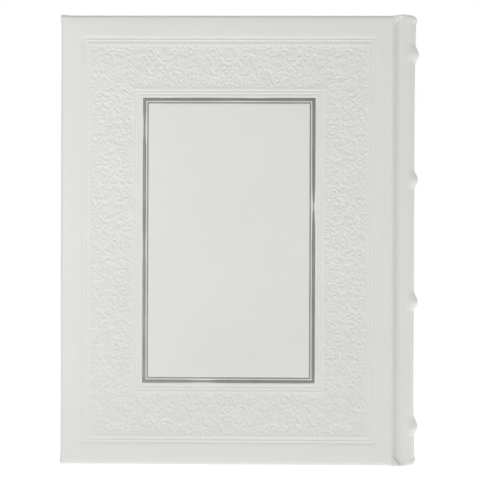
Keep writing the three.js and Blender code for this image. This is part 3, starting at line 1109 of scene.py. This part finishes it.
# ---- Foil ----
# Across a stamped line: (share of its width, depth in mm below its sunk level).
FOIL_PROFILE = [
    (-0.02, 0.09), (0.0, 0.005), (0.22, -0.012), (0.5, -0.016), (0.78, -0.012), (1.0, 0.005), (1.02, 0.09)
]


def add_foil():
    """Two stamped lines, sunk in the leather, with edges that the stamp left slightly uneven."""
    for node, width, shift in (
        ("foil_heavy_line", HEAVY_WIDTH, 0),
        ("foil_fine_line", FINE_WIDTH, FINE_SHIFT),
    ):
        low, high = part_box(f"front_{node}")
        shares = ring_shares(FINER)
        points = []
        for across, sunk in FOIL_PROFILE:
            inset = shift + across * width
            x, z = ring(low.x + inset, high.x - inset, low.z + inset, high.z - inset, 0, shares)
            if across in (0.0, 1.0):
                turn = np.arange(len(x))
                rough = 0.028 * MM * np.sin(turn * 1.9) * np.sin(turn * 0.37 + across)
                x = x + rough
                z = z + rough
            depth = FACE - FOIL_SUNK - sunk * MM
            points.append(np.column_stack([x, np.full_like(x, -depth), z]))
        points = np.concatenate(points)
        count = len(shares[0])
        faces = grid_faces(len(FOIL_PROFILE), count, wrap=True)
        last = (len(FOIL_PROFILE) - 1) * count
        faces += [(last + j, last + (j + 1) % count, (j + 1) % count, j) for j in range(count)]
        for side, body in (("front", "front_cover"), ("back", "back_cover")):
            piece = add_piece(f"{side}_{node}_stamped", *on_side(side, points, faces), FOIL_LOOK, 30)
            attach(piece, body)
            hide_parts(f"{side}_{node}")


def dress_cad_nodes():
    """The flat inner layers keep their CAD shape, with better materials."""
    looks = {
        "board": BOARD_LOOK,
        "infill_card": BOARD_LOOK,
        "mull_flange": CLOTH_LOOK,
        "pastedown": ENDPAPER_LOOK,
    }
    for side in ("front", "back"):
        for node, look in looks.items():
            for holder in frame["nodes"][f"{side}_{node}"].material_slots:
                holder.link = "OBJECT"
                holder.material = look


# ---- Stage, light and camera ----
# Half the photo's side over half the book's height; what the camera aims at, from the middle.
PHOTO_REACH = 1.0655
AIM_RIGHT, AIM_UP = -0.6 * MM, 0.2 * MM
CAMERA_AWAY = 1.1
CAMERA_TURN = 1.6
CAMERA_ROLL = 0.19
FLOOR_RADIUS = 7.0
FLOOR_GLOW = 0.72
ROOM_LIGHT = 0.465
LEFT_SHARE = 0.15
# Each lamp's name, place, size and power.
LAMPS = (
    ("key", (-0.25, -0.52, 0.07), 0.3, 1.0),
    ("side", (0.9, 0.05, 0.15), 0.4, 0.6),
    ("top", (0.1, 0.7, 1.2), 0.6, 6),
)


def add_camera():
    """Almost straight on to the front cover, with a long lens."""
    data = bpy.data.cameras.new("camera")
    camera = bpy.data.objects.new("camera", data)
    bpy.context.scene.collection.objects.link(camera)
    aim = Vector((AIM_RIGHT, 0, MIDDLE + AIM_UP))
    turn = math.radians(CAMERA_TURN)
    toward = Vector((-math.sin(turn), math.cos(turn), 0))
    camera.location = aim - toward * CAMERA_AWAY
    camera.rotation_mode = "QUATERNION"
    roll = Quaternion(toward, -math.radians(CAMERA_ROLL))
    camera.rotation_quaternion = roll @ toward.to_track_quat("-Z", "Y")
    wide = 2 * MIDDLE * PHOTO_REACH * CAMERA_AWAY / (CAMERA_AWAY - FACE)
    data.lens = data.sensor_width * CAMERA_AWAY / wide
    data.clip_start, data.clip_end = 0.05, 50
    bpy.context.scene.camera = camera


def add_stage():
    """A plain white floor."""
    floor_look, shader, _ = new_material("floor", (0.8, 0.8, 0.8), 0.9)
    shader.inputs["Emission Color"].default_value = (1, 1, 1, 1)
    shader.inputs["Emission Strength"].default_value = FLOOR_GLOW
    bpy.ops.mesh.primitive_circle_add(vertices=96, radius=FLOOR_RADIUS, fill_type="NGON")
    floor = bpy.context.object
    floor.name = "floor"
    floor.location.z = -0.02 * MM
    floor.data.materials.append(floor_look)


def add_lamp(name, place, size, power):
    data = bpy.data.lights.new(name, "AREA")
    data.size = size
    data.energy = power
    lamp = bpy.data.objects.new(name, data)
    lamp.location = place
    aim = Vector((0, 0, MIDDLE)) - lamp.location
    lamp.rotation_mode = "QUATERNION"
    lamp.rotation_quaternion = aim.to_track_quat("-Z", "Y")
    lamp.visible_camera = False
    bpy.context.scene.collection.objects.link(lamp)


def add_light():
    """A white room, dimmer than the camera sees it and dimmer still on the left."""
    world = bpy.data.worlds.new("studio")
    world.use_nodes = True
    link = world.node_tree.links.new
    room = world.node_tree.nodes["Background"]
    room.inputs["Color"].default_value = (1, 1, 1, 1)
    place = add_node(world, "ShaderNodeTexCoord")
    apart = add_node(world, "ShaderNodeSeparateXYZ")
    spread = add_node(
        world, "ShaderNodeMapRange",
        From_Min=-1, From_Max=0.2, To_Min=LEFT_SHARE * ROOM_LIGHT, To_Max=ROOM_LIGHT)
    link(place.outputs["Generated"], apart.inputs["Vector"])
    link(apart.outputs["X"], spread.inputs["Value"])
    link(spread.outputs["Result"], room.inputs["Strength"])
    seen = add_node(world, "ShaderNodeBackground", Color=(1, 1, 1, 1), Strength=1.0)
    path = add_node(world, "ShaderNodeLightPath")
    mix = add_node(world, "ShaderNodeMixShader")
    link(path.outputs["Is Camera Ray"], mix.inputs["Fac"])
    link(room.outputs["Background"], mix.inputs[1])
    link(seen.outputs["Background"], mix.inputs[2])
    link(mix.outputs["Shader"], world.node_tree.nodes["World Output"].inputs["Surface"])
    bpy.context.scene.world = world
    for lamp in LAMPS:
        add_lamp(*lamp)
    bpy.context.scene.view_settings.view_transform = "Standard"


add_camera()
add_cover_leather()
add_foil()
add_joint_leather()
add_spine_leather()
add_spine_linings()
add_headbands()
add_text_block()
add_leaves()
add_endpaper_joints()
dress_cad_nodes()
add_stage()
add_light()
